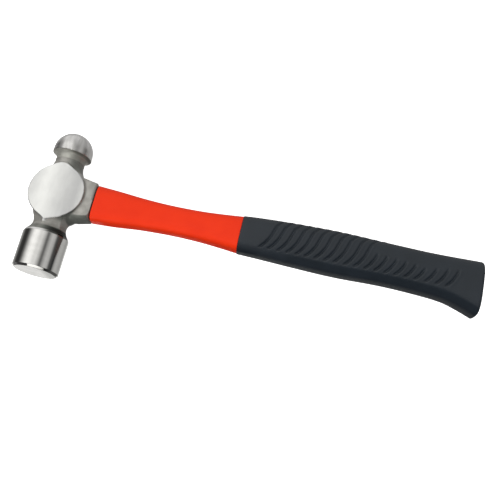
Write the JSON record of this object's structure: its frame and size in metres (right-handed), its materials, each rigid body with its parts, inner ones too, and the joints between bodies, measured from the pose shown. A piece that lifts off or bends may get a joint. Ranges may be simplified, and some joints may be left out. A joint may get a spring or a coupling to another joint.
{
  "type": "ball peen hammer",
  "caption": "Hand hammer with a round polished striking poll, a ball peen, flat round cheeks and a moulded two-part handle that flares at the butt.",
  "frame": {"origin": "centre of the striking face", "axes": "+X along the handle from the head to the butt, +Y up the head from the striking face to the ball, +Z out of the upper cheek"},
  "size_m": [0.3508, 0.116, 0.035],
  "materials": {
    "forged_steel": "forged and blasted, with ground cheeks and a mirror-polished poll",
    "resin": "cast epoxy, slightly glossy",
    "fibreglass": "pultruded, fine lengthwise fibres",
    "seal_rubber": "matt",
    "jacket_plastic": "moulded, satin gloss",
    "grip_rubber": "moulded, matt with a fine grain"
  },
  "bodies": {
    "root": {"head": "forged_steel", "eye_resin": "resin", "handle_core": "fibreglass", "mouth_seal": "seal_rubber", "handle_jacket": "jacket_plastic", "grip": "grip_rubber"}
  },
  "joints": []
}
